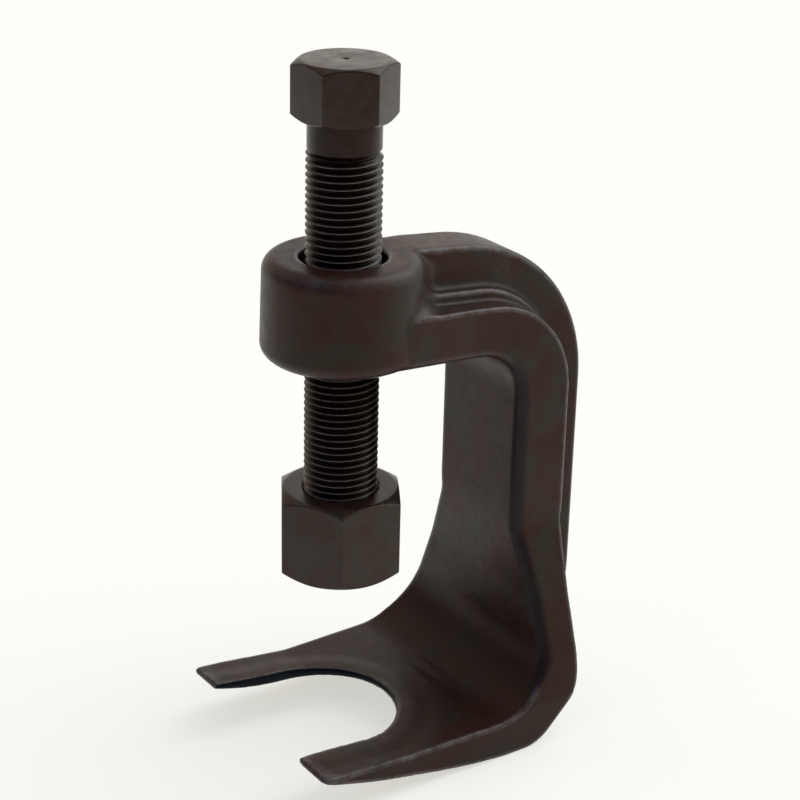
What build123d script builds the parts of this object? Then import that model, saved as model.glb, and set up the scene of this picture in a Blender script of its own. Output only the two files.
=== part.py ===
from build123d import *

import os

# Ball joint separator: a forged C-frame with a fork at the foot and a round eye at the top, a
# forcing screw that hangs through the eye, and a tall thrust nut on the screw's lower end.
# Millimetres. The screw's axis is the Z axis and points up to the screw's head, the fork's
# prongs point to -X, the frame's back is at +X, and Z = 0 is the frame's lowest point.

# Frame, seen from the side (X and Z)
FRAME_HEIGHT = 113.8
ARM_TOP_AT_EYE = 103.9
ARM_TOP_AT_BACK = 99.4
ARM_UNDER_AT_EYE = 92.6
ARM_UNDER_AT_BACK = 89.8
BACK_INNER_X = 36.6
BACK_OUTER_X = 49.6
WAIST_Z = 50.0
FOOT_INNER_X = 38.4
FOOT_OUTER_X = 48.0
FOOT_TOP_Z = 33.0
THROAT_RADIUS = 11.0
SHOULDER_RADIUS = 22.5
FOOT_INNER_RADIUS = 14.0
WAIST_RADIUS = 40.0
HEEL_BACK_X = 46.9
HEEL_BACK_Z = 11.0
HEEL_BACK_RADIUS = 12.0
HEEL_X = 35.8
HEEL_RADIUS = 4.0

# Fork
FORK_TOP = 8.5
FORK_FLAT_END_X = 2.0
UNDERSIDE_X = 3.0
UNDERSIDE_Z = 3.0
TIP_X = -21.3
TIP_TOP_Z = 10.7
TIP_BOTTOM_Z = 9.6
TIP_CORNER_RADIUS = 2.4
FORK_WAIST_RADIUS = 60.0
FORK_OPENING = 34.0
SLOT_CENTRE_X = -4.4
SLOT_LIP = 3.2
SLOT_LIP_SLOPE = 0.02
SLOT_BEVEL = 7.0
SLOT_BEVEL_ANGLE = 66.0

# Frame, half widths (Y)
ARM_HALF_WIDTH = 14.6
FLARE_START_Z = 46.8
FLARE_END_Z = 19.0
FLARE_END_HALF_WIDTH = 25.6
FORK_ROOT_HALF_WIDTH = 27.4
FORK_WAIST_HALF_WIDTH = 26.7
FORK_TIP_HALF_WIDTH = 27.9
FLARE_RADIUS = 8.0

# Neck between the eye and the arm
NECK_START_X = 2.0
NECK_END_X = 24.0
NECK_START_HALF_WIDTH = 16.4

# Stiffening rib on the outside of the frame, and the narrow step at its foot
RIB_HALF_WIDTH = 6.0
RIB_FOOT_X = 27.0
RIB_BACK_X = 60.3
RIB_LEVEL_END_X = 16.0
RIB_TOP_AT_BACK = 110.0
RIB_SHOULDER_RADIUS = 36.0
RIB_FOOT_RADIUS = 30.0
RIB_CORE_X = 43.0
RIB_CORE_TOP = 96.0
RIB_CORE_BOTTOM = 4.0
RIB_CORE_RADIUS = 14.0
STEP_HALF_WIDTH = 9.0
STEP_RISE = 2.2
STEP_END_Z = 72.0

# Eye at the end of the arm
EYE_TOP_RADIUS = 16.6
EYE_BOTTOM_RADIUS = 17.2
EYE_BOTTOM = 92.2
EYE_BORE_RADIUS = 9.1
EYE_TOP_ROUND = 3.0
EYE_BOTTOM_ROUND = 3.2

# Edge rounding of the forging
INNER_EDGE_ROUND = 1.4
NECK_EDGE_ROUND = 3.5
RIB_EDGE_ROUND = 1.3

# Forcing screw, M16 x 1.5
HEAD_TOP = 154.2
SCREW_LENGTH = 110.0
HEAD_HEIGHT = 12.0
HEAD_ACROSS_FLATS = 19.0
HEAD_TURN = 33.3
HEAD_CHAMFER = 1.1
HEAD_FLAT_RADIUS = 9.1
NECK_RADIUS = 7.6
NECK_LENGTH = 6.0
CENTRE_MARK_RADIUS = 0.8
CENTRE_MARK_DEPTH = 0.7
THREAD_RADIUS = 7.85
THREAD_PITCH = 1.5
THREAD_DEPTH = 0.9
THREAD_BASE = 1.25
THREAD_FLANK = 60
THREAD_TURNS = 61
TIP_FLAT_RADIUS = 6.5

# Thrust nut
NUT_ACROSS_FLATS = 25.0
NUT_HEIGHT = 18.0
NUT_TURN = -1.4
NUT_CHAMFER = 1.4
NUT_FLAT_RADIUS = 12.0
NUT_FOOT_RADIUS = 13.0
NUT_BORE_RADIUS = 7.9
NUT_MOUTH_RADIUS = 8.5

os.makedirs("parts", exist_ok=True)

foot = (Align.CENTER, Align.MIN)
screw_tip = HEAD_TOP - SCREW_LENGTH
head_bottom = HEAD_TOP - HEAD_HEIGHT
thread_core = THREAD_RADIUS - THREAD_DEPTH
thread_start = head_bottom - NECK_LENGTH - THREAD_PITCH / 2
arm_top_slope = (ARM_TOP_AT_BACK - ARM_TOP_AT_EYE) / BACK_OUTER_X
arm_under_slope = (ARM_UNDER_AT_BACK - ARM_UNDER_AT_EYE) / BACK_INNER_X

# ---------------------------------------------------------------- C-frame
# The main band of the forging: arm, back and fork, drawn from the side.
with BuildPart() as band:
    with BuildSketch(Plane.XZ):
        with BuildLine():
            FilletPolyline(
                (FORK_FLAT_END_X, FORK_TOP),
                (FOOT_INNER_X, FORK_TOP),
                (FOOT_INNER_X, FOOT_TOP_Z),
                (BACK_INNER_X, WAIST_Z),
                (BACK_INNER_X, ARM_UNDER_AT_BACK),
                (0, ARM_UNDER_AT_EYE),
                radius=[FOOT_INNER_RADIUS, WAIST_RADIUS, WAIST_RADIUS, THROAT_RADIUS],
            )
            Line((0, ARM_UNDER_AT_EYE), (0, ARM_TOP_AT_EYE))
            FilletPolyline(
                (0, ARM_TOP_AT_EYE),
                (BACK_OUTER_X, ARM_TOP_AT_BACK),
                (BACK_OUTER_X, WAIST_Z),
                (FOOT_OUTER_X, FOOT_TOP_Z),
                (HEEL_BACK_X, HEEL_BACK_Z),
                (HEEL_X, 0),
                (RIB_FOOT_X, 0),
                radius=[SHOULDER_RADIUS, WAIST_RADIUS, WAIST_RADIUS, HEEL_BACK_RADIUS, HEEL_RADIUS],
            )
            ThreePointArc((RIB_FOOT_X, 0), (UNDERSIDE_X, UNDERSIDE_Z), (TIP_X, TIP_BOTTOM_Z))
            Line((TIP_X, TIP_BOTTOM_Z), (TIP_X, TIP_TOP_Z))
            TangentArc((FORK_FLAT_END_X, FORK_TOP), (TIP_X, TIP_TOP_Z), tangent=(-1, 0))
        make_face()
    extrude(amount=FORK_TIP_HALF_WIDTH, both=True)
    # Front view: an even arm and back that flare out to the fork below the waist.
    with BuildSketch(Plane.YZ):
        with BuildLine():
            front_outline = FilletPolyline(
                (0, -1),
                (FORK_TIP_HALF_WIDTH, -1),
                (FORK_TIP_HALF_WIDTH, FORK_TOP),
                (FLARE_END_HALF_WIDTH, FLARE_END_Z),
                (ARM_HALF_WIDTH, FLARE_START_Z),
                (ARM_HALF_WIDTH, FRAME_HEIGHT),
                (0, FRAME_HEIGHT),
                radius=[0, 0, FLARE_RADIUS, FLARE_RADIUS, 0],
            )
            mirror(front_outline, about=Plane.YZ)
        make_face()
    extrude(amount=RIB_BACK_X, both=True, mode=Mode.INTERSECT)
    # Plan view: the prongs spread slightly towards their rounded tips.
    with BuildSketch():
        with BuildLine():
            plan_outline = FilletPolyline(
                (TIP_X, 0),
                (TIP_X, FORK_TIP_HALF_WIDTH),
                (UNDERSIDE_X, FORK_WAIST_HALF_WIDTH),
                (RIB_FOOT_X, FORK_ROOT_HALF_WIDTH),
                (RIB_BACK_X, FORK_ROOT_HALF_WIDTH),
                (RIB_BACK_X, 0),
                radius=[TIP_CORNER_RADIUS, FORK_WAIST_RADIUS, 0, 0],
            )
            mirror(plan_outline, about=Plane.XZ)
        make_face()
    extrude(amount=FRAME_HEIGHT, mode=Mode.INTERSECT)
    arm_edges = band.edges().filter_by_position(Axis.Z, ARM_UNDER_AT_BACK, ARM_UNDER_AT_EYE)
    fillet(arm_edges.filter_by(Axis.Y, reverse=True), radius=INNER_EDGE_ROUND)

# The arm widens towards the eye.
with BuildPart() as neck:
    with BuildSketch(Plane.XZ):
        with BuildLine():
            Polyline(
                (NECK_START_X, ARM_UNDER_AT_EYE + arm_under_slope * NECK_START_X),
                (NECK_END_X, ARM_UNDER_AT_EYE + arm_under_slope * NECK_END_X),
                (NECK_END_X, ARM_TOP_AT_EYE + arm_top_slope * NECK_END_X),
                (NECK_START_X, ARM_TOP_AT_EYE + arm_top_slope * NECK_START_X),
                close=True,
            )
        make_face()
    extrude(amount=NECK_START_HALF_WIDTH, both=True)
    with BuildSketch():
        with BuildLine():
            Polyline(
                (NECK_START_X, -NECK_START_HALF_WIDTH),
                (NECK_END_X, -ARM_HALF_WIDTH),
                (NECK_END_X, ARM_HALF_WIDTH),
                (NECK_START_X, NECK_START_HALF_WIDTH),
                close=True,
            )
        make_face()
    extrude(amount=FRAME_HEIGHT, mode=Mode.INTERSECT)
    neck_edges = neck.edges().filter_by_position(Axis.Z, ARM_UNDER_AT_BACK, ARM_UNDER_AT_EYE)
    fillet(neck_edges.filter_by(Axis.Y, reverse=True), radius=NECK_EDGE_ROUND)

# The rib runs from the eye over the shoulder, down the back and under the heel.
with BuildPart() as rib:
    with BuildSketch(Plane.XZ):
        with BuildLine():
            FilletPolyline(
                (0, FRAME_HEIGHT),
                (RIB_LEVEL_END_X, FRAME_HEIGHT),
                (RIB_BACK_X, RIB_TOP_AT_BACK),
                (RIB_BACK_X, 0),
                (RIB_FOOT_X, 0),
                (RIB_FOOT_X, RIB_CORE_BOTTOM),
                (RIB_CORE_X, RIB_CORE_BOTTOM),
                (RIB_CORE_X, RIB_CORE_TOP),
                (0, RIB_CORE_TOP),
                radius=[0, RIB_SHOULDER_RADIUS, RIB_SHOULDER_RADIUS, RIB_FOOT_RADIUS, 0, 0]
                + [RIB_CORE_RADIUS, RIB_CORE_RADIUS, 0],
                close=True,
            )
        make_face()
    extrude(amount=RIB_HALF_WIDTH, both=True)
    fillet(rib.edges().filter_by(Axis.Y, reverse=True), radius=RIB_EDGE_ROUND)

# A low step lies between the rib and the band along the arm and round the shoulder.
with BuildPart() as step:
    with BuildSketch(Plane.XZ):
        with BuildLine():
            FilletPolyline(
                (0, ARM_TOP_AT_EYE + STEP_RISE),
                (BACK_OUTER_X + STEP_RISE, ARM_TOP_AT_BACK + STEP_RISE),
                (BACK_OUTER_X, STEP_END_Z),
                (RIB_CORE_X, STEP_END_Z),
                (RIB_CORE_X, RIB_CORE_TOP),
                (0, RIB_CORE_TOP),
                radius=[0, SHOULDER_RADIUS, 0, 0, RIB_CORE_RADIUS, 0],
                close=True,
            )
        make_face()
    extrude(amount=STEP_HALF_WIDTH, both=True)

# The eye is turned with a little draft and rounded at both rims.
with BuildPart() as eye:
    with BuildSketch(Plane.XZ):
        with BuildLine():
            FilletPolyline(
                (0, EYE_BOTTOM),
                (EYE_BOTTOM_RADIUS, EYE_BOTTOM),
                (EYE_TOP_RADIUS, FRAME_HEIGHT),
                (0, FRAME_HEIGHT),
                radius=[0, EYE_BOTTOM_ROUND, EYE_TOP_ROUND, 0],
                close=True,
            )
        make_face()
    revolve(axis=Axis.Z)

# What is cut away between the prongs: a thin upright lip, then a bevel that opens downwards.
with BuildPart() as slot:
    with BuildSketch():
        with Locations((SLOT_CENTRE_X, 0)):
            Circle(FORK_OPENING / 2)
        with Locations((TIP_X, 0)):
            Rectangle(2 * (SLOT_CENTRE_X - TIP_X), FORK_OPENING)
    extrude(amount=EYE_BOTTOM / 2)
with BuildPart() as bevel:
    lip_plane = Plane(
        origin=(TIP_X, 0, TIP_TOP_Z - SLOT_LIP),
        x_dir=(1, 0, -SLOT_LIP_SLOPE),
        z_dir=(SLOT_LIP_SLOPE, 0, 1),
    )
    with BuildSketch(lip_plane):
        with Locations((SLOT_CENTRE_X - TIP_X, 0)):
            Circle(FORK_OPENING / 2)
        Rectangle(2 * (SLOT_CENTRE_X - TIP_X), FORK_OPENING)
    extrude(amount=-SLOT_BEVEL, taper=-SLOT_BEVEL_ANGLE)

with BuildPart() as c_frame:
    add(band.part)
    add(neck.part)
    add(rib.part)
    add(step.part)
    add(eye.part)
    # The plain clearance bore for the screw.
    with Locations((0, 0, FRAME_HEIGHT)):
        Hole(EYE_BORE_RADIUS)
    add(slot.part, mode=Mode.SUBTRACT)
    add(bevel.part, mode=Mode.SUBTRACT)
c_frame.part.label = "c_frame"
export_step(c_frame.part, "parts/c_frame.step")

# ---------------------------------------------------------------- forcing screw
# The hexagon head, turned to a chamfer at both ends.
with BuildPart() as forcing_screw:
    with BuildSketch(Plane.XY.offset(head_bottom)):
        RegularPolygon(HEAD_ACROSS_FLATS / 2, 6, major_radius=False, rotation=HEAD_TURN)
    extrude(amount=HEAD_HEIGHT)
    with BuildSketch(Plane.XZ):
        with BuildLine():
            Polyline(
                (0, head_bottom),
                (HEAD_FLAT_RADIUS, head_bottom),
                (HEAD_ACROSS_FLATS / 3**0.5, head_bottom + HEAD_CHAMFER),
                (HEAD_ACROSS_FLATS / 3**0.5, HEAD_TOP - HEAD_CHAMFER),
                (HEAD_FLAT_RADIUS, HEAD_TOP),
                (0, HEAD_TOP),
                close=True,
            )
        make_face()
    revolve(axis=Axis.Z, mode=Mode.INTERSECT)
    # The short neck and the thread's core, with a chamfered pressing end.
    with BuildSketch(Plane.XZ):
        with BuildLine():
            Polyline(
                (0, head_bottom),
                (NECK_RADIUS, head_bottom),
                (NECK_RADIUS, head_bottom - NECK_LENGTH),
                (thread_core, head_bottom - NECK_LENGTH),
                (thread_core, screw_tip + thread_core - TIP_FLAT_RADIUS),
                (TIP_FLAT_RADIUS, screw_tip),
                (0, screw_tip),
                close=True,
            )
        make_face()
    revolve(axis=Axis.Z)
    # The thread's crests, as rings at the thread's pitch.
    with BuildSketch(Plane.XZ):
        for ring in range(THREAD_TURNS):
            with Locations((thread_core, thread_start - THREAD_PITCH * ring)):
                Trapezoid(THREAD_BASE, THREAD_DEPTH, THREAD_FLANK, rotation=-90, align=foot)
    revolve(axis=Axis.Z)
    # The small centre mark on top of the head.
    with BuildSketch(Plane.XZ):
        with BuildLine():
            Polyline(
                (0, HEAD_TOP - CENTRE_MARK_DEPTH),
                (CENTRE_MARK_RADIUS, HEAD_TOP),
                (0, HEAD_TOP),
                close=True,
            )
        make_face()
    revolve(axis=Axis.Z, mode=Mode.SUBTRACT)
forcing_screw.part.label = "forcing_screw"
export_step(forcing_screw.part, "parts/forcing_screw.step")

# ---------------------------------------------------------------- thrust nut
with BuildPart() as thrust_nut:
    with BuildSketch(Plane.XY.offset(screw_tip)):
        RegularPolygon(NUT_ACROSS_FLATS / 2, 6, major_radius=False, rotation=NUT_TURN)
    extrude(amount=NUT_HEIGHT)
    with BuildSketch(Plane.XZ):
        with BuildLine():
            Polyline(
                (NUT_BORE_RADIUS, screw_tip + NUT_MOUTH_RADIUS - NUT_BORE_RADIUS),
                (NUT_MOUTH_RADIUS, screw_tip),
                (NUT_FOOT_RADIUS, screw_tip),
                (NUT_ACROSS_FLATS / 3**0.5, screw_tip + NUT_CHAMFER),
                (NUT_ACROSS_FLATS / 3**0.5, screw_tip + NUT_HEIGHT - NUT_CHAMFER),
                (NUT_FLAT_RADIUS, screw_tip + NUT_HEIGHT),
                (NUT_MOUTH_RADIUS, screw_tip + NUT_HEIGHT),
                (NUT_BORE_RADIUS, screw_tip + NUT_HEIGHT - NUT_MOUTH_RADIUS + NUT_BORE_RADIUS),
                close=True,
            )
        make_face()
    revolve(axis=Axis.Z, mode=Mode.INTERSECT)
thrust_nut.part.label = "thrust_nut"
export_step(thrust_nut.part, "parts/thrust_nut.step")
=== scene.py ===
import math

import bmesh
import bpy
import numpy as np
from mathutils import Matrix, Vector


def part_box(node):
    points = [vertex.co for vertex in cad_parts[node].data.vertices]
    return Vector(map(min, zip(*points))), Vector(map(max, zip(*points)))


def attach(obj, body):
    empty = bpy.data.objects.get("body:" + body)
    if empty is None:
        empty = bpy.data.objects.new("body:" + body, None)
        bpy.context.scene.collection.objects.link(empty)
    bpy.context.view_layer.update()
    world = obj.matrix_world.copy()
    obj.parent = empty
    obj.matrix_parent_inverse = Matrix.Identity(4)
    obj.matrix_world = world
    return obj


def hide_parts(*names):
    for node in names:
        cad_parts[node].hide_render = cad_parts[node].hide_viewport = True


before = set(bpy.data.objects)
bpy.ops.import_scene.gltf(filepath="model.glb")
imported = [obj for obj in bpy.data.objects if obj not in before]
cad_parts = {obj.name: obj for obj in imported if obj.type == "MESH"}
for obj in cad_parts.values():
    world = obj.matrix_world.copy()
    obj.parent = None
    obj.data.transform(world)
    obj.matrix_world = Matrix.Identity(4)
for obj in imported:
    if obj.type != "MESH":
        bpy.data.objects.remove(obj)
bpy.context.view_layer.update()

# The ball joint separator's looks. Mesh code works in millimetres in the CAD's own frame and is
# scaled to metres when a mesh is made: the screw's axis is Z, the prongs point to -X.
MM = 0.001

frame_low, frame_high = (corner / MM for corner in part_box("c_frame"))
screw_low, screw_high = (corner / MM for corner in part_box("forcing_screw"))
nut_low, nut_high = (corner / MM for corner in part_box("thrust_nut"))

# C-frame, side view (X and Z). Where these differ from the CAD, by up to 0.7 mm, they follow the
# photo's outline more closely.
FRAME_TOP = frame_high.z
BACK_INSET = 0.3
BACK_X = frame_high.x - BACK_INSET
TIP_X = frame_low.x
TIP_TOP_Z = 10.7
TIP_BOTTOM_Z = 9.6
FORK_TOP = 8.5
FORK_FLAT_END_X = 2.0
RIB_FOOT_X = 27.0
HEEL_X = 35.8
HEEL_BACK_X = 46.9
HEEL_BACK_Z = 11.0
UNDERSIDE_X = 3.0
UNDERSIDE_Z = 3.0
INNER_X = 36.3
OUTER_X = 49.6
FOOT_INNER_X = 38.1
FOOT_OUTER_X = 48.0
FOOT_Z = 33.0
WAIST_Z = 50.0
ARM_TOP_AT_EYE = 103.9
ARM_TOP_AT_BACK = 99.4
ARM_UNDER_AT_EYE = 92.6
ARM_UNDER_AT_BACK = 89.2
RIB_CORE_X = 43.0
RIB_CORE_TOP = 96.0
RIB_CORE_BOTTOM = 4.0
RIB_LEVEL_END_X = 16.0
RIB_TOP_AT_BACK = 109.3
STEP_RISE = 2.2
STEP_END_X = 48.1
STEP_END_Z = 66.0

# C-frame, half widths (Y)
ARM_WIDTH = 14.6
NECK_WIDTH = 16.4
NECK_START_X = 2.0
NECK_END_X = 24.0
FLARE_TOP_Z = 47.2
FLARE_FOOT_Z = 19.0
FLARE_FOOT_WIDTH = 25.6
FORK_ROOT_WIDTH = 27.4
FORK_WAIST_X = 3.0
FORK_WAIST_WIDTH = 26.7
FORK_TIP_WIDTH = frame_high.y
RIB_WIDTH = 6.0
STEP_WIDTH = 9.0

# C-frame, radii of the outline's corners
FORK_ROOT_CORNER = 14.0
WAIST_BEND = 40.0
THROAT_TOP_CORNER = 11.0
ARM_BACK_CORNER = 22.5
HEEL_BACK_CORNER = 12.0
HEEL_CORNER = 10.0
RIB_SHOULDER_CORNER = 36.0
RIB_FOOT_CORNER = 30.0
RIB_CORE_CORNER = 14.0
EYE_FOOT_CORNER = 3.2
EYE_TOP_CORNER = 3.0
FLARE_FOOT_CORNER = 10.0
FLARE_TOP_CORNER = 7.0

# C-frame, roundings along its edges and fillets in its hollows
PRONG_TIP_ROUND = 1.6
FORK_EDGE_ROUND = 0.5
THROAT_EDGE_ROUND = 2.5
OUTER_EDGE_ROUND = 0.5
STEP_ROUND = 1.2
STEP_FILLET = 1.0
RIB_ROUND = 1.3
RIB_FILLET = 1.8
EYE_FOOT_FILLET = 1.8
EYE_TOP_FILLET = 4.0
BORE_ROUND = 0.7
SLOT_ROUND = 0.4

# C-frame, stretches over which a rounding, fillet or width changes: where it starts and ends
NECK_SPREAD_Z = (78.0, 84.0)
SLOT_RIM_FADE = (2.5, 7.5)
THROAT_EDGE_Z = (9.0, 20.0)
RIB_FILLET_Z = (4.0, 14.0)
EYE_FILLET_X = (3.0, 13.0)
EYE_FOOT_FILLET_Z = (93.0, 96.0)
EYE_TOP_FILLET_Z = (97.0, 104.0)
EYE_FILLET_BELOW_TOP = (0.2, 4.0)

# Eye, bore and slot
EYE_BOTTOM = 92.2
EYE_BOTTOM_RADIUS = 17.2
EYE_TOP_RADIUS = 16.6
EYE_BORE = 9.1
SLOT_CENTRE_X = -4.4
SLOT_RADIUS = 16.7
SLOT_SPREAD = 0.6
SLOT_RIM = 0.3
SLOT_LIP_Z = 6.95
SLOT_LIP_CURVE_TO_TIPS = 0.0070
SLOT_LIP_CURVE_TO_ROOT = 0.0035
SLOT_BEVEL_SLOPE = 0.445
FAR_FROM_SLOT = 50.0

# Faint waves the forging die left on the fork's root
WAVE_HEIGHT = 0.10
WAVE_LENGTH = 3.6
WAVE_PLACE = (28.0, 2.0)
WAVE_REACH = 6.5

# Both hexagons
HEXAGON_CORNER = 0.35

# Forcing screw
HEAD_HEIGHT = 12.0
HEAD_FLATS = 19.0
HEAD_TURN = 33.3
HEAD_CHAMFER = 1.1
HEAD_FLAT_RADIUS = 9.1
NECK_RADIUS = 7.6
NECK_LENGTH = 6.0
NECK_OVERLAP = 0.2
CENTRE_MARK = 0.8
CREST_RADIUS = 7.85
ROOT_RADIUS = 6.95
PITCH = 1.5
THREAD_START = 0.2
TIP_FLAT_RADIUS = 6.5

# Thrust nut. Its foot lies a little lower than in the CAD, as in the photo.
NUT_FLATS = 25.0
NUT_TURN = -1.4
NUT_CHAMFER = 1.4
NUT_TOP_RADIUS = 12.0
NUT_FOOT_RADIUS = 12.4
NUT_FOOT_DROP = 0.7
NUT_BORE = 7.9
NUT_MOUTH = 8.5
NUT_SEAM_HEIGHT = 4.0

# Edges sharper than this many degrees stay hard on the screw and nut
SHARP_ANGLE = 50

# The floor's size in metres, and how much light it gives of its own
FLOOR_SIZE = 6
FLOOR_GLOW = 0.60

# The grid for the forging's skin: its cell, and how many cells it goes past the forging
VOXEL = 0.52
MARGIN = 3

# How far a point is nudged to find the slope of a field
NUDGE = 0.05

# How far round a point the forging is felt for edges and hollows
EDGE_REACH = 1.2


# ---------------------------------------------------------------- outlines and distance fields
def corner_arc(before, corner, after, radius):
    """Points on the arc of that radius that rounds one corner."""
    before, corner, after = (np.array(p, float) for p in (before, corner, after))
    to_before = (before - corner) / np.linalg.norm(before - corner)
    to_after = (after - corner) / np.linalg.norm(after - corner)
    half_angle = math.acos(np.clip(to_before @ to_after, -1, 1)) / 2
    middle = (to_before + to_after) / np.linalg.norm(to_before + to_after)
    centre = corner + middle * radius / math.sin(half_angle)
    start = corner + to_before * radius / math.tan(half_angle) - centre
    end = corner + to_after * radius / math.tan(half_angle) - centre
    sweep = math.pi - 2 * half_angle
    count = max(3, int(math.degrees(sweep) / 4))
    share = np.linspace(0, 1, count + 1)[:, None]
    blend = np.sin((1 - share) * sweep) * start + np.sin(share * sweep) * end
    return centre + blend / math.sin(sweep)


def rounded(*corners):
    """A closed outline from (x, z, radius) corners, with each corner rounded to its radius."""
    points = []
    for i, (x, z, radius) in enumerate(corners):
        if radius:
            after = corners[(i + 1) % len(corners)]
            points.extend(corner_arc(corners[i - 1][:2], (x, z), after[:2], radius))
        else:
            points.append((x, z))
    return np.array(points, float)


def arc_through(start, middle, end, count=16):
    """(x, z, 0) points along the arc through three points."""
    (ax, az), (bx, bz), (cx, cz) = start, middle, end
    d = 2 * (ax * (bz - cz) + bx * (cz - az) + cx * (az - bz))
    a2, b2, c2 = ax**2 + az**2, bx**2 + bz**2, cx**2 + cz**2
    ux = (a2 * (bz - cz) + b2 * (cz - az) + c2 * (az - bz)) / d
    uz = (a2 * (cx - bx) + b2 * (ax - cx) + c2 * (bx - ax)) / d
    radius = math.hypot(ax - ux, az - uz)
    side = 1 if az > uz else -1
    return [(x, uz + side * math.sqrt(radius**2 - (x - ux) ** 2), 0) for x in np.linspace(ax, cx, count)]


class Profile:
    """The signed distance from a closed outline, negative inside, kept on a fine grid."""

    STEP = 0.25

    def __init__(self, outline, low=(-45, -12), high=(75, 126)):
        self.low = low
        u = np.arange(low[0], high[0] + self.STEP, self.STEP)[:, None]
        v = np.arange(low[1], high[1] + self.STEP, self.STEP)[None, :]
        nearest = np.full((u.size, v.size), np.inf)
        inside = np.zeros((u.size, v.size), bool)
        for (ax, az), (bx, bz) in zip(outline, np.roll(outline, -1, axis=0)):
            length2 = (bx - ax) ** 2 + (bz - az) ** 2
            if length2 == 0:
                continue
            t = np.clip(((u - ax) * (bx - ax) + (v - az) * (bz - az)) / length2, 0, 1)
            away = (u - ax - t * (bx - ax)) ** 2 + (v - az - t * (bz - az)) ** 2
            nearest = np.minimum(nearest, away)
            if az != bz:
                crossing = ((az > v) != (bz > v)) & (u < ax + (v - az) * (bx - ax) / (bz - az))
                inside ^= crossing
        self.values = np.sqrt(nearest) * np.where(inside, -1, 1)

    def __call__(self, u, v):
        u, v = np.broadcast_arrays((u - self.low[0]) / self.STEP, (v - self.low[1]) / self.STEP)
        i = np.clip(u.astype(int), 0, self.values.shape[0] - 2)
        j = np.clip(v.astype(int), 0, self.values.shape[1] - 2)
        s, t = u - i, v - j
        lower = self.values[i, j] * (1 - t) + self.values[i, j + 1] * t
        upper = self.values[i + 1, j] * (1 - t) + self.values[i + 1, j + 1] * t
        return lower * (1 - s) + upper * s


def both(a, b, radius):
    """The common part of two fields, with the edge where they meet rounded."""
    reach = np.hypot(np.maximum(a + radius, 0), np.maximum(b + radius, 0))
    return np.minimum(np.maximum(a, b), -radius) + reach


def either(a, b, radius):
    """The union of two fields, with a fillet where they meet."""
    radius = np.maximum(radius, 1e-6)
    reach = np.hypot(np.maximum(radius - a, 0), np.maximum(radius - b, 0))
    return np.maximum(np.minimum(a, b), radius) - reach


def ramp(value, start, end):
    """0 at start, 1 at end, smooth between."""
    t = np.clip((value - start) / (end - start), 0, 1)
    return t * t * (3 - 2 * t)


# The outlines. Their corners beyond the tips, inside the eye or past the axis only close them.
fork_top_rise = arc_through((TIP_X - 8, 11.5), (TIP_X, TIP_TOP_Z), (FORK_FLAT_END_X, FORK_TOP))
underside = arc_through((RIB_FOOT_X, 0), (UNDERSIDE_X, UNDERSIDE_Z), (TIP_X, TIP_BOTTOM_Z))

throat = Profile(rounded(
    *fork_top_rise,
    (FOOT_INNER_X, FORK_TOP, FORK_ROOT_CORNER),
    (FOOT_INNER_X, FOOT_Z, WAIST_BEND),
    (INNER_X, WAIST_Z, WAIST_BEND),
    (INNER_X, ARM_UNDER_AT_BACK, THROAT_TOP_CORNER),
    (0, ARM_UNDER_AT_EYE, 0),
    (TIP_X - 20, ARM_UNDER_AT_EYE, 0),
    (TIP_X - 20, TIP_TOP_Z + 3, 0),
))
outside = Profile(rounded(
    (0, ARM_TOP_AT_EYE, 0),
    (OUTER_X, ARM_TOP_AT_BACK, ARM_BACK_CORNER),
    (OUTER_X, WAIST_Z, WAIST_BEND),
    (FOOT_OUTER_X, FOOT_Z, WAIST_BEND),
    (HEEL_BACK_X, HEEL_BACK_Z, HEEL_BACK_CORNER),
    (HEEL_X, 0, HEEL_CORNER),
    *underside,
    (TIP_X - 10, TIP_BOTTOM_Z + 2, 0),
    (TIP_X - 10, WAIST_Z, 0),
    (0, ARM_UNDER_AT_EYE - 5, 0),
))
rib_side = Profile(rounded(
    (0, FRAME_TOP, 0),
    (RIB_LEVEL_END_X, FRAME_TOP, RIB_SHOULDER_CORNER),
    (BACK_X, RIB_TOP_AT_BACK, RIB_SHOULDER_CORNER),
    (BACK_X, 0, RIB_FOOT_CORNER),
    (RIB_FOOT_X, 0, 0),
    (RIB_FOOT_X, RIB_CORE_BOTTOM, 0),
    (RIB_CORE_X, RIB_CORE_BOTTOM, RIB_CORE_CORNER),
    (RIB_CORE_X, RIB_CORE_TOP, RIB_CORE_CORNER),
    (0, RIB_CORE_TOP, 0),
))
step_side = Profile(rounded(
    (0, ARM_TOP_AT_EYE + STEP_RISE, 0),
    (OUTER_X + STEP_RISE, ARM_TOP_AT_BACK + STEP_RISE, ARM_BACK_CORNER),
    (STEP_END_X, STEP_END_Z, 0),
    (RIB_CORE_X, STEP_END_Z, 0),
    (RIB_CORE_X, RIB_CORE_TOP, RIB_CORE_CORNER),
    (0, RIB_CORE_TOP, 0),
))
eye_side = Profile(rounded(
    (-30, EYE_BOTTOM, 0),
    (EYE_BOTTOM_RADIUS, EYE_BOTTOM, EYE_FOOT_CORNER),
    (EYE_TOP_RADIUS, FRAME_TOP, EYE_TOP_CORNER),
    (-30, FRAME_TOP, 0),
))
flare = Profile(rounded(
    (-5, -5, 0),
    (FORK_TIP_WIDTH + 1, -5, 0),
    (FORK_TIP_WIDTH + 0.8, FORK_TOP - 4, 0),
    (FLARE_FOOT_WIDTH, FLARE_FOOT_Z, FLARE_FOOT_CORNER),
    (ARM_WIDTH, FLARE_TOP_Z, FLARE_TOP_CORNER),
    (ARM_WIDTH, 125, 0),
    (-5, 125, 0),
))


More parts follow.
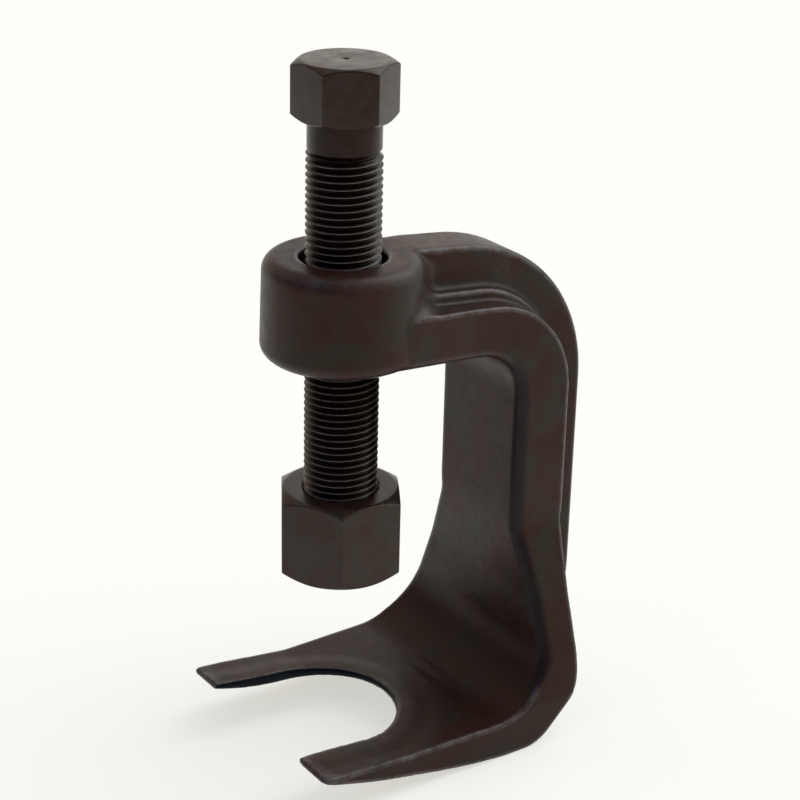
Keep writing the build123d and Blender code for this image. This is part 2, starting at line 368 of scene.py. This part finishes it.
def slot_distance(x, y, z):
    """How far a point lies outside the slot, which opens slightly towards the tips."""
    slot = np.where(x > SLOT_CENTRE_X, np.hypot(x - SLOT_CENTRE_X, y), np.abs(y)) - SLOT_RADIUS
    slot = slot - SLOT_SPREAD * np.clip((SLOT_CENTRE_X - x) / (SLOT_CENTRE_X - TIP_X), 0, 1) ** 2
    return np.where(z < EYE_BOTTOM / 2, slot, FAR_FROM_SLOT)


def frame_field(x, y, z):
    """The forging: negative inside. Works on a grid or on loose points."""
    across = np.abs(y)
    from_axis = np.hypot(x, y)
    # The sides: the flare, the neck that widens to the eye, the prongs that spread to their tips.
    neck = (NECK_WIDTH - ARM_WIDTH) * np.clip((NECK_END_X - x) / (NECK_END_X - NECK_START_X), 0, 1)
    neck = neck * ramp(z, *NECK_SPREAD_Z)
    prong_widths = (FORK_TIP_WIDTH, FORK_WAIST_WIDTH, FORK_ROOT_WIDTH)
    prong = np.interp(x, (TIP_X, FORK_WAIST_X, RIB_FOOT_X), prong_widths)
    sides = np.maximum(flare(across - neck, z), across - prong)
    sides = both(sides, TIP_X - x, PRONG_TIP_ROUND)
    # The low rim that runs round the slot, and the waves on the fork's root.
    slot = slot_distance(x, y, z)
    rim = SLOT_RIM * (1 - ramp(slot, *SLOT_RIM_FADE))
    away2 = (x - WAVE_PLACE[0]) ** 2 + (y - WAVE_PLACE[1]) ** 2
    waves = WAVE_HEIGHT * np.sin(2 * math.pi * x / WAVE_LENGTH) * np.exp(-away2 / WAVE_REACH**2)
    rim = rim + np.where(z < EYE_BOTTOM / 2, waves, 0)
    # The band: the outer outline less the throat.
    inner_round = FORK_EDGE_ROUND + (THROAT_EDGE_ROUND - FORK_EDGE_ROUND) * ramp(z, *THROAT_EDGE_Z)
    inner_side = both(-throat(x, z - rim), sides, inner_round)
    outer_side = both(outside(x, z), sides, OUTER_EDGE_ROUND)
    band = np.maximum(inner_side, outer_side)
    # The rib and the low step at its foot.
    step = both(step_side(x, z), across - STEP_WIDTH, STEP_ROUND)
    rib = both(rib_side(x, z), across - RIB_WIDTH, RIB_ROUND)
    body = either(band, step, STEP_FILLET)
    body = either(body, rib, RIB_FILLET * ramp(z, *RIB_FILLET_Z))
    # The eye, whose fillet grows upwards and fades out round the front and at the top face.
    eye = eye_side(from_axis, z)
    growth = (EYE_TOP_FILLET - EYE_FOOT_FILLET) * ramp(z, *EYE_TOP_FILLET_Z)
    eye_fillet = EYE_FOOT_FILLET * ramp(z, *EYE_FOOT_FILLET_Z) + growth
    eye_fillet = eye_fillet * ramp(x, *EYE_FILLET_X)
    body = either(body, eye, eye_fillet * ramp(FRAME_TOP - z, *EYE_FILLET_BELOW_TOP))
    body = np.maximum(body, z - FRAME_TOP)
    body = np.maximum(body, -z)
    # The bore, and the slot with its lip and the bevel under it.
    body = both(body, EYE_BORE - from_axis, BORE_ROUND)
    body = both(body, -slot, SLOT_ROUND)
    lip_z = SLOT_LIP_Z + np.where(x < 0, SLOT_LIP_CURVE_TO_TIPS, SLOT_LIP_CURVE_TO_ROOT) * x**2
    bevel = lip_z - SLOT_BEVEL_SLOPE * slot - z
    return np.maximum(body, bevel * math.cos(math.atan(SLOT_BEVEL_SLOPE)))


# ---------------------------------------------------------------- meshes
def skin(field, low, high, size):
    """A quad mesh on the field's zero surface: surface nets, then relaxed and pressed onto the field."""
    low = np.array(low) - MARGIN * size
    counts = np.ceil((np.array(high) + MARGIN * size - low) / size).astype(int) + 1
    axes = [low[k] + size * np.arange(counts[k]) for k in range(3)]
    values = field(axes[0][:, None, None], axes[1][None, :, None], axes[2][None, None, :])
    cells = tuple(counts - 1)
    total = np.zeros((int(np.prod(cells)), 3))
    hits = np.zeros(int(np.prod(cells)))
    quads = []
    for axis in range(3):
        first = np.take(values, range(counts[axis] - 1), axis)
        second = np.take(values, range(1, counts[axis]), axis)
        at = np.argwhere((first < 0) != (second < 0))
        a, b = first[tuple(at.T)], second[tuple(at.T)]
        place = at.astype(float)
        place[:, axis] += a / (a - b)
        u, v = (axis + 1) % 3, (axis + 2) % 3
        ring = []
        for shift_u, shift_v in ((-1, -1), (0, -1), (0, 0), (-1, 0)):
            cell = at.copy()
            cell[:, u] += shift_u
            cell[:, v] += shift_v
            flat = np.ravel_multi_index(tuple(cell.T), cells)
            for k in range(3):
                total[:, k] += np.bincount(flat, place[:, k], len(total))
            hits += np.bincount(flat, minlength=len(hits))
            ring.append(flat)
        ring = np.array(ring).T
        outward = (a < 0)[:, None]
        quads.append(np.where(outward, ring, ring[:, ::-1]))
    used = np.flatnonzero(hits)
    number = np.full(len(hits), -1)
    number[used] = np.arange(len(used))
    points = low + size * total[used] / hits[used][:, None]
    quads = number[np.concatenate(quads)]
    return settle(field, points, quads, size), quads


def settle(field, points, quads, size):
    """Evens the points out along the surface and presses them onto it."""
    starts, ends = quads.ravel(), np.roll(quads, -1, axis=1).ravel()
    share = np.bincount(starts, minlength=len(points))[:, None]
    for turn in range(4):
        if turn:
            mean = np.stack([np.bincount(starts, points[ends, k], len(points)) for k in range(3)], 1)
            points = points + 0.5 * (mean / share - points)
        for _ in range(2):
            value = field(*points.T)
            slope = np.empty_like(points)
            for k in range(3):
                nudge = np.zeros(3)
                nudge[k] = NUDGE
                slope[:, k] = (field(*(points + nudge).T) - field(*(points - nudge).T)) / (2 * NUDGE)
            length2 = np.maximum((slope**2).sum(1), 0.2)
            move = slope * (value / length2)[:, None]
            far = np.linalg.norm(move, axis=1)[:, None]
            points = points - move * np.minimum(1, size / np.maximum(far, 1e-9))
    return points


def flat_half_angle(flats):
    """Half the angle that a hexagon's flat takes up, seen from the axis, between its round corners."""
    return math.atan((flats / 2 - HEXAGON_CORNER) * math.tan(math.pi / 6) / (flats / 2))


def hexagon_reach(angles, flats, turn):
    """How far a hexagon with slightly rounded corners reaches from its axis at each angle."""
    off_flat = (angles - math.radians(turn)) % (math.pi / 3) - math.pi / 6
    flat = flats / 2 / np.cos(off_flat)
    off_corner = math.pi / 6 - np.abs(off_flat)
    centre = (flats / 2 - HEXAGON_CORNER) / math.cos(math.pi / 6)
    inside_root = np.maximum(HEXAGON_CORNER**2 - (centre * np.sin(off_corner)) ** 2, 0)
    arc = centre * np.cos(off_corner) + np.sqrt(inside_root)
    return np.where(np.abs(off_flat) < flat_half_angle(flats), flat, arc)


def hexagon_angles(flats, turn):
    """Angles all round a hexagon: even along each flat, close together round each corner."""
    touch = flat_half_angle(flats)
    along = np.linspace(-touch, touch, 17)
    round_corner = np.linspace(touch, math.pi / 3 - touch, 7)[1:-1]
    sector = np.concatenate([along, round_corner])
    return np.concatenate([math.radians(turn + 30 + 60 * k) + sector for k in range(6)])


def soften(profile, rounds):
    """Rounds the corners of many side profiles at once. profile: (corner, column, 2)."""
    rows = [profile[:1]]
    for k in range(1, len(profile) - 1):
        back, ahead = profile[k - 1] - profile[k], profile[k + 1] - profile[k]
        back_length = np.linalg.norm(back, axis=1)[:, None] + 1e-9
        ahead_length = np.linalg.norm(ahead, axis=1)[:, None] + 1e-9
        start = profile[k] + back / back_length * np.minimum(rounds[k], 0.45 * back_length)
        end = profile[k] + ahead / ahead_length * np.minimum(rounds[k], 0.45 * ahead_length)
        for t in (0, 0.25, 0.5, 0.75, 1) if rounds[k] else (0.5,):
            rows.append(((1 - t) ** 2 * start + 2 * t * (1 - t) * profile[k] + t**2 * end)[None])
    rows.append(profile[-1:])
    return np.concatenate(rows)


def turned(profile, angles):
    """Points and quads of a shape whose side profile may differ at each angle."""
    rows, columns = profile.shape[:2]
    radius, height = profile[..., 0], profile[..., 1]
    points = np.stack([radius * np.cos(angles), radius * np.sin(angles), height], -1).reshape(-1, 3)
    at = np.arange(rows * columns).reshape(rows, columns)
    beside = np.roll(at, -1, axis=1)
    quads = np.stack([at[:-1], beside[:-1], beside[1:], at[1:]], -1).reshape(-1, 4)
    return points, quads


def column(angles, *corners):
    """Stacks (radius, height) corners, each a number or one value per angle."""
    ones = np.ones(len(angles))
    return np.array([np.stack([ones * radius, ones * height], -1) for radius, height in corners])


def screw_mesh():
    """The head's skin and the thread's, which overlap inside the neck. One rounding per head corner."""
    head_foot = screw_high.z - HEAD_HEIGHT
    angles = hexagon_angles(HEAD_FLATS, HEAD_TURN)
    reach = hexagon_reach(angles, HEAD_FLATS, HEAD_TURN)
    corner_reach = HEAD_FLATS / math.sqrt(3)
    drop = HEAD_CHAMFER * (reach - HEAD_FLAT_RADIUS) / (corner_reach - HEAD_FLAT_RADIUS)
    head = soften(column(
        angles,
        (NECK_RADIUS - 0.4, head_foot - 0.5),
        (NECK_RADIUS, head_foot - 0.5),
        (NECK_RADIUS, head_foot),
        (HEAD_FLAT_RADIUS, head_foot),
        (reach, head_foot + drop),
        (reach, screw_high.z - drop),
        (HEAD_FLAT_RADIUS, screw_high.z),
        (CENTRE_MARK, screw_high.z),
        (0, screw_high.z - CENTRE_MARK),
    ), (0, 0, 0.25, 0.15, 0.25, 0.25, 0.3, 0.1, 0))
    return [turned(head, angles), thread_mesh(head_foot - NECK_OVERLAP, screw_low.z)]


def thread_mesh(top, foot, columns_per_turn=96, rows_per_pitch=10):
    """Neck, right-hand thread and chamfered end. Its rows follow the helix."""
    columns = np.arange(columns_per_turn + 1)
    angles = 2 * math.pi * columns / columns_per_turn
    step = PITCH / rows_per_pitch
    count = int((top - foot) / step) + rows_per_pitch + 2
    rows = np.arange(count)[:, None]
    height = np.clip(foot + rows * step + PITCH * angles / (2 * math.pi) - PITCH, foot, top)
    phase = (rows + THREAD_START * rows_per_pitch) % rows_per_pitch / rows_per_pitch
    # The crest is flat for about a tenth of the pitch, and the root for about a seventh.
    crest = np.clip(1.12 - np.abs(phase - 0.5) * 2.6, 0, 1) * np.ones_like(height)
    neck_foot = top + NECK_OVERLAP - NECK_LENGTH
    fade = 1 - ramp(height, neck_foot - 1.0, neck_foot - 0.3)
    radius = ROOT_RADIUS + (CREST_RADIUS - ROOT_RADIUS) * crest * fade
    radius += (NECK_RADIUS - ROOT_RADIUS) * ramp(height, neck_foot - 0.25, neck_foot + 0.15)
    radius = np.minimum(radius, TIP_FLAT_RADIUS + (height - foot))
    points = np.stack([radius * np.cos(angles), radius * np.sin(angles), height], -1)
    centre = np.zeros((1, len(columns), 3))
    centre[..., 2] = foot
    points = np.concatenate([centre, points])
    at = np.arange(points.shape[0] * points.shape[1]).reshape(points.shape[:2])
    quads = np.stack([at[:-1, :-1], at[:-1, 1:], at[1:, 1:], at[1:, :-1]], -1).reshape(-1, 4)
    return points.reshape(-1, 3), quads


def nut_mesh():
    """A tall hexagon nut, chamfered at both ends, with a plain bore that has countersunk mouths."""
    angles = hexagon_angles(NUT_FLATS, NUT_TURN)
    reach = hexagon_reach(angles, NUT_FLATS, NUT_TURN)
    corner_reach = NUT_FLATS / math.sqrt(3)
    drop = NUT_CHAMFER * (reach - NUT_TOP_RADIUS) / (corner_reach - NUT_TOP_RADIUS)
    rise = NUT_CHAMFER * np.maximum(reach - NUT_FOOT_RADIUS, 0) / (corner_reach - NUT_FOOT_RADIUS)
    mouth_depth = NUT_MOUTH - NUT_BORE
    foot = nut_low.z - NUT_FOOT_DROP
    body = soften(column(
        angles,
        (NUT_BORE, foot + NUT_SEAM_HEIGHT),
        (NUT_BORE, foot + mouth_depth),
        (NUT_MOUTH, foot),
        (np.minimum(reach, NUT_FOOT_RADIUS), foot),
        (reach, foot + rise),
        (reach, nut_high.z - drop),
        (NUT_TOP_RADIUS, nut_high.z),
        (NUT_MOUTH, nut_high.z),
        (NUT_BORE, nut_high.z - mouth_depth),
        (NUT_BORE, foot + NUT_SEAM_HEIGHT),
    ), (0, 0.1, 0.15, 0.3, 0.3, 0.25, 0.35, 0.2, 0.1, 0))
    return [turned(body, angles)]


def mesh_object(name, parts, material, body, nodes):
    """A smooth-shaded piece in metres that rides on its body and stands for its CAD node."""
    points, faces = [], []
    for part_points, part_faces in parts:
        faces.extend((part_faces + sum(map(len, points))).tolist())
        points.append(part_points)
    mesh = bpy.data.meshes.new(name)
    mesh.from_pydata((np.concatenate(points) * MM).tolist(), [], faces)
    welded = bmesh.new()
    welded.from_mesh(mesh)
    bmesh.ops.remove_doubles(welded, verts=welded.verts, dist=1e-6)
    bmesh.ops.dissolve_degenerate(welded, edges=welded.edges, dist=1e-7)
    bmesh.ops.recalc_face_normals(welded, faces=welded.faces)
    welded.to_mesh(mesh)
    welded.free()
    mesh.polygons.foreach_set("use_smooth", [True] * len(mesh.polygons))
    mesh.materials.append(material)
    piece = bpy.data.objects.new(name, mesh)
    bpy.context.collection.objects.link(piece)
    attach(piece, body)
    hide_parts(*nodes)
    return piece


def mark_forging(piece, field, reach):
    """Stores at each point how sharp it is, -1 in hollows to 1 on edges, and its slot distance."""
    count = len(piece.data.vertices)
    places = np.empty(3 * count)
    piece.data.vertices.foreach_get("co", places)
    x, y, z = places.reshape(count, 3).T / MM
    bend = -6 * field(x, y, z)
    for dx, dy, dz in np.concatenate([np.eye(3), -np.eye(3)]) * reach:
        bend += field(x + dx, y + dy, z + dz)
    marks = piece.data.attributes.new("edge", "FLOAT", "POINT")
    marks.data.foreach_set("value", np.clip(bend / reach, -1, 1))
    slots = piece.data.attributes.new("slot_distance", "FLOAT", "POINT")
    slots.data.foreach_set("value", np.clip(slot_distance(x, y, z), 0, 5))


def flatten_sharp(piece, degrees):
    """Keeps edges sharper than this hard in the shading."""
    piece.data.set_sharp_from_angle(angle=math.radians(degrees))


# ---------------------------------------------------------------- materials
class Nodes:
    """A short way to write a node material: each call adds a node and links its inputs."""

    def __init__(self, tree):
        self.tree = tree

    def add(self, kind, inputs=None, **settings):
        node = self.tree.nodes.new("ShaderNode" + kind)
        for key, value in settings.items():
            setattr(node, key, value)
        for key, value in (inputs or {}).items():
            if isinstance(value, bpy.types.NodeSocket):
                self.tree.links.new(value, node.inputs[key])
            else:
                node.inputs[key].default_value = value
        return node

    def noise(self, place, scale, detail=2.0, rough=0.5):
        inputs = {"Vector": place, "Scale": scale, "Detail": detail, "Roughness": rough}
        return self.add("TexNoise", inputs).outputs["Fac"]

    def mark(self, name):
        return self.add("Attribute", attribute_name=name, attribute_type="GEOMETRY").outputs["Fac"]

    def math(self, operation, a, b=0.0):
        return self.add("Math", {0: a, 1: b}, operation=operation).outputs[0]

    def times(self, a, b):
        return self.math("MULTIPLY", a, b)

    def span(self, value, low, high, to_low=0.0, to_high=1.0):
        inputs = {"Value": value, "From Min": low, "From Max": high, "To Min": to_low, "To Max": to_high}
        return self.add("MapRange", inputs).outputs["Result"]

    def between(self, value, low, low_full, high_full, high):
        """1 between the two full values, falling to 0 at low and high."""
        return self.times(self.span(value, low, low_full), self.span(value, high, high_full))

    def mix(self, share, a, b):
        node = self.add("Mix", {"Factor": share}, data_type="RGBA")
        for socket, value in ((node.inputs[6], a), (node.inputs[7], b)):
            if isinstance(value, bpy.types.NodeSocket):
                self.tree.links.new(value, socket)
            else:
                socket.default_value = (*value, 1)
        return node.outputs[2]

    def stretched(self, place, scale, turn=(0, 0, 0)):
        inputs = {"Vector": place, "Scale": scale, "Rotation": turn}
        return self.add("Mapping", inputs).outputs["Vector"]


def new_material(name):
    """A material with its Principled shader, its node helper, and its place in millimetres."""
    material = bpy.data.materials.new(name)
    material.use_nodes = True
    nodes = Nodes(material.node_tree)
    shader = material.node_tree.nodes["Principled BSDF"]
    place = nodes.stretched(nodes.add("TexCoord").outputs["Object"], (1 / MM,) * 3)
    return material, nodes, shader, place


def wire(nodes, shader, colour, rough, height, depth):
    """Links colour, roughness and a bump of that depth, in millimetres, to the shader."""
    nodes.tree.links.new(colour, shader.inputs["Base Color"])
    nodes.tree.links.new(rough, shader.inputs["Roughness"])
    bump = nodes.add("Bump", {"Height": height, "Distance": depth * MM, "Strength": 1.0})
    nodes.tree.links.new(bump.outputs["Normal"], shader.inputs["Normal"])


def forged_material():
    """Drop-forged steel, tumbled and oil-blacked: brown, olive and violet-black, worn bare on edges.
    Edges also carry painted highlights; recesses, the throat's edges, the slot's sides and the low fork
    get painted shade.
    """
    material, nodes, shader, place = new_material("forged_black_oxide")
    shader.inputs["IOR"].default_value = 1.33
    broad = nodes.noise(place, 0.06, 3)
    clouds = nodes.noise(nodes.stretched(place, (1, 1, 1), (0.4, 0.9, 0.2)), 0.11, 4, 0.6)
    patches = nodes.noise(place, 0.35, 4, 0.6)
    grain = nodes.noise(place, 2.6, 3, 0.65)
    pits = nodes.noise(place, 0.9, 2)
    # Hand linishing on the back's inner face: slanting strokes that fade out below the throat.
    parts = nodes.add("SeparateXYZ", {"Vector": place})
    near_face = nodes.between(parts.outputs["X"], 33.0, 35.5, 37.5, 39.5)
    inside_edges = nodes.span(nodes.math("ABSOLUTE", parts.outputs["Y"]), 14.2, 13.2)
    linished = nodes.times(near_face, nodes.span(parts.outputs["Z"], 66.0, 84.0))
    linished = nodes.times(linished, inside_edges)
    strokes = nodes.noise(nodes.stretched(place, (1, 0.16, 2.4), (0.62, 0, 0)), 1.0, 4, 0.7)
    # Edges worn bare, lightened partly as wear and partly as painted highlight, and recesses darkened as
    # painted shade.
    bend = nodes.mark("edge")
    # Painted shade: the slot's inner side, darkened nearly to black.
    painted_slot_wall_shade = nodes.span(nodes.mark("slot_distance"), 0.34, 0.18)
    rubbed_and_highlit = nodes.times(nodes.span(bend, 0.30, 0.95), nodes.span(patches, 0.32, 0.62, 0.2, 1.0))
    # The edges round the throat get no wear and no painted highlight; painted blue-black shade lies on
    # them instead.
    beside_throat = nodes.between(parts.outputs["Z"], 11.0, 17.0, 86.0, 89.0)
    beside_throat = nodes.times(nodes.span(parts.outputs["X"], 45.0, 43.0), beside_throat)
    rubbed_and_highlit = nodes.times(rubbed_and_highlit, nodes.math("SUBTRACT", 1.0, beside_throat))
    painted_throat_edge_shade = nodes.times(beside_throat, nodes.span(bend, 0.04, 0.36, 0, 0.6))
    # Painted shade: concave recesses darkened.
    painted_hollow_shade = nodes.span(bend, -0.15, -0.6)
    brown = nodes.mix(nodes.span(broad, 0.35, 0.65), (0.020, 0.0058, 0.0036), (0.024, 0.0090, 0.0062))
    olive = nodes.mix(nodes.span(clouds, 0.50, 0.62, 0, 0.75), brown, (0.014, 0.0120, 0.0072))
    colour = nodes.mix(nodes.span(patches, 0.50, 0.72, 0, 0.45), olive, (0.019, 0.0120, 0.0160))
    bare_strokes = nodes.times(linished, nodes.span(strokes, 0.35, 0.65))
    colour = nodes.mix(bare_strokes, colour, (0.030, 0.0270, 0.0210))
    colour = nodes.mix(painted_hollow_shade, colour, (0.010, 0.0062, 0.0060))
    colour = nodes.mix(painted_throat_edge_shade, colour, (0.009, 0.0085, 0.0120))
    # Painted highlight and wear: convex edges lightened.
    colour = nodes.mix(nodes.times(rubbed_and_highlit, 0.40), colour, (0.160, 0.1500, 0.1560))
    colour = nodes.mix(painted_slot_wall_shade, colour, (0.003, 0.0050, 0.0075))
    tint = nodes.mix(nodes.span(clouds, 0.42, 0.60), (0.92, 0.63, 0.49), (0.90, 0.86, 0.73))
    # Painted shade: reflections dimmed towards the bottom, over the fork.
    tint = nodes.mix(nodes.span(parts.outputs["Z"], 36.0, 10.0, 0, 0.8), tint, (0.56, 0.50, 0.43))
    # Painted shade: a cold reflection tint on the throat's edges.
    tint = nodes.mix(painted_throat_edge_shade, tint, (0.66, 0.65, 0.74))
    # Reflection tint: white on worn edges as painted highlight, cold and dim on the slot's side as
    # painted shade.
    tint = nodes.mix(painted_slot_wall_shade, nodes.mix(rubbed_and_highlit, tint, (1, 1, 1)), (0.16, 0.22, 0.30))
    nodes.tree.links.new(tint, shader.inputs["Specular Tint"])
    rough = nodes.math("SUBTRACT", nodes.span(patches, 0.3, 0.7, 0.34, 0.46), nodes.times(rubbed_and_highlit, 0.15))
    height = nodes.math("ADD", nodes.times(grain, 0.35), pits)
    height = nodes.math("ADD", height, nodes.times(linished, strokes))
    wire(nodes, shader, colour, rough, height, 0.035)
    return material


def screw_material():
    """Turned steel, blacked: flanks darkened to near-black as painted shade, crests worn to a thin bright
    line that is partly a painted highlight, reflections dimmed under the head as painted shade.
    """
    material, nodes, shader, place = new_material("screw_black_oxide")
    shader.inputs["IOR"].default_value = 1.36
    parts = nodes.add("SeparateXYZ", {"Vector": place})
    radius = nodes.math("SQRT", nodes.math("ADD", nodes.math("POWER", parts.outputs["X"], 2.0),
                                           nodes.math("POWER", parts.outputs["Y"], 2.0)))
    patches = nodes.noise(place, 0.4, 3)
    rings = nodes.noise(nodes.stretched(place, (0.3, 0.3, 6.0)), 1.0, 2)
    neck_top = screw_high.z - HEAD_HEIGHT
    thread_top = neck_top - NECK_LENGTH
    # Painted shade: reflections dimmed on the neck below the head.
    painted_shade_below_head = nodes.span(parts.outputs["Z"], neck_top, neck_top - 0.2, 0, 0.6)
    threaded = nodes.span(parts.outputs["Z"], thread_top + 0.1, thread_top - 0.2)
    # Painted shade: the thread's flanks and roots darkened, in colour and reflection.
    painted_flank_shade = nodes.times(threaded, nodes.span(radius, CREST_RADIUS - 0.13, CREST_RADIUS - 0.35))
    crest = nodes.times(threaded, nodes.span(radius, CREST_RADIUS - 0.07, CREST_RADIUS - 0.01))
    colour = nodes.mix(nodes.span(patches, 0.3, 0.7), (0.015, 0.0072, 0.0050), (0.021, 0.0120, 0.0090))
    colour = nodes.mix(painted_flank_shade, colour, (0.005, 0.0028, 0.0022))
    # Crests lightened: partly wear, partly painted highlight.
    crest_wear_and_highlight = nodes.times(crest, nodes.span(patches, 0.3, 0.6, 0.5, 1.0))
    colour = nodes.mix(crest_wear_and_highlight, colour, (0.240, 0.2250, 0.2150))
    tint = nodes.mix(nodes.span(patches, 0.35, 0.65), (0.92, 0.68, 0.52), (0.92, 0.86, 0.78))
    tint = nodes.mix(painted_shade_below_head, tint, (0.30, 0.25, 0.22))
    tint = nodes.mix(painted_flank_shade, tint, (0.35, 0.30, 0.28))
    nodes.tree.links.new(nodes.mix(crest, tint, (1, 1, 1)), shader.inputs["Specular Tint"])
    rough = nodes.span(rings, 0.3, 0.7, 0.24, 0.36)
    height = nodes.math("ADD", rings, nodes.noise(place, 3.0, 2))
    wire(nodes, shader, colour, rough, height, 0.008)
    return material


def nut_material():
    """Machined steel, blacked and oiled, glossier than the forging."""
    material, nodes, shader, place = new_material("nut_black_oxide")
    shader.inputs["IOR"].default_value = 1.38
    patches = nodes.noise(place, 0.35, 3)
    stains = nodes.noise(place, 0.12, 3, 0.6)
    grain = nodes.noise(nodes.stretched(place, (1.2, 1.2, 5.0)), 1.0, 3)
    colour = nodes.mix(nodes.span(patches, 0.3, 0.7), (0.021, 0.0080, 0.0058), (0.024, 0.0150, 0.0110))
    colour = nodes.mix(nodes.span(stains, 0.48, 0.62, 0, 0.7), colour, (0.018, 0.0160, 0.0105))
    tint = nodes.mix(nodes.span(stains, 0.42, 0.60), (1.0, 0.76, 0.66), (0.98, 0.98, 0.88))
    nodes.tree.links.new(tint, shader.inputs["Specular Tint"])
    rough = nodes.span(grain, 0.3, 0.7, 0.24, 0.34)
    wire(nodes, shader, colour, rough, grain, 0.010)
    return material


def floor_material():
    """White acrylic over a dim lamp, so shadows on it stay faint."""
    material, nodes, shader, place = new_material("lit_acrylic")
    fibre = nodes.noise(place, 0.8, 3)
    colour = nodes.mix(fibre, (0.39, 0.39, 0.39), (0.41, 0.41, 0.41))
    wire(nodes, shader, colour, nodes.span(fibre, 0.3, 0.7, 0.85, 0.95), fibre, 0.01)
    shader.inputs["Specular IOR Level"].default_value = 0.0
    shader.inputs["Emission Color"].default_value = (1.0, 1.0, 0.93, 1)
    shader.inputs["Emission Strength"].default_value = FLOOR_GLOW
    return material


# ---------------------------------------------------------------- pieces
frame_skin = skin(frame_field, frame_low, frame_high, VOXEL)
forging = mesh_object("forged_frame", [frame_skin], forged_material(), "frame", ["c_frame"])
mark_forging(forging, frame_field, EDGE_REACH)
screw = mesh_object("screw_body", screw_mesh(), screw_material(), "screw", ["forcing_screw"])
nut = mesh_object("nut_body", nut_mesh(), nut_material(), "nut", ["thrust_nut"])
flatten_sharp(screw, SHARP_ANGLE)
flatten_sharp(nut, SHARP_ANGLE)

# ---------------------------------------------------------------- stage
bpy.ops.mesh.primitive_plane_add(size=FLOOR_SIZE)
floor = bpy.context.object
floor.data.materials.append(floor_material())

# The photo's camera: its place in metres, and its heading clockwise from Y
CAMERA_PLACE = (-0.21692, -0.32790, 0.24851)
HEADING = math.radians(35.27)
PITCH_DOWN = math.radians(22.95)
ROLL = math.radians(1.41)
LENS = 91.9
SENSOR_WIDTH = 36

camera = bpy.data.objects.new("camera", bpy.data.cameras.new("camera"))
bpy.context.collection.objects.link(camera)
bpy.context.scene.camera = camera
level = math.cos(PITCH_DOWN)
ahead = Vector((math.sin(HEADING) * level, math.cos(HEADING) * level, -math.sin(PITCH_DOWN)))
right = Vector((math.cos(HEADING), -math.sin(HEADING), 0))
above = right.cross(ahead)
tilted_right = right * math.cos(ROLL) + above * math.sin(ROLL)
tilted_above = above * math.cos(ROLL) - right * math.sin(ROLL)
turn = Matrix((tilted_right, tilted_above, -ahead)).transposed()
camera.matrix_world = Matrix.Translation(CAMERA_PLACE) @ turn.to_4x4()
camera.data.lens = LENS
camera.data.sensor_width = SENSOR_WIDTH

# The studio round the object, as soft lights: heading clockwise from the camera's own and height
# above the floor, both in degrees, how tight the light is, its strength and its colour.
STUDIO = (
    (0, 8, 10, 1.15, (1.00, 0.97, 0.90)),
    (60, 45, 8, 3.90, (0.97, 1.00, 1.00)),
    (90, 8, 10, 1.15, (0.80, 1.00, 0.98)),
    (135, 8, 10, 0.85, (1.00, 0.55, 0.25)),
    (240, 45, 8, 0.70, (0.20, 0.40, 1.00)),
    (300, 45, 8, 0.55, (1.00, 0.60, 0.45)),
    (315, 8, 10, 0.80, (1.00, 0.88, 0.65)),
    (0, 90, 4, 0.65, (1.00, 1.00, 1.00)),
)
world = bpy.data.worlds.new("studio")
bpy.context.scene.world = world
world.use_nodes = True
sky = Nodes(world.node_tree)
direction = sky.add("TexCoord").outputs["Generated"]
total = None
for turned_by, lifted, tightness, strength, colour in STUDIO:
    heading = HEADING + math.radians(turned_by)
    lift = math.radians(lifted)
    towards = (math.sin(heading) * math.cos(lift), math.cos(heading) * math.cos(lift), math.sin(lift))
    facing = sky.add("VectorMath", {0: direction, 1: towards}, operation="DOT_PRODUCT")
    glow = sky.math("POWER", sky.math("MAXIMUM", facing.outputs["Value"], 0.0), tightness)
    tone = [strength * channel for channel in colour]
    light = sky.add("VectorMath", {0: tone, "Scale": glow}, operation="SCALE").outputs["Vector"]
    if total is None:
        total = light
    else:
        total = sky.add("VectorMath", {0: total, 1: light}, operation="ADD").outputs["Vector"]
background = world.node_tree.nodes["Background"]
world.node_tree.links.new(total, background.inputs["Color"])
bpy.context.scene.view_settings.view_transform = "Standard"
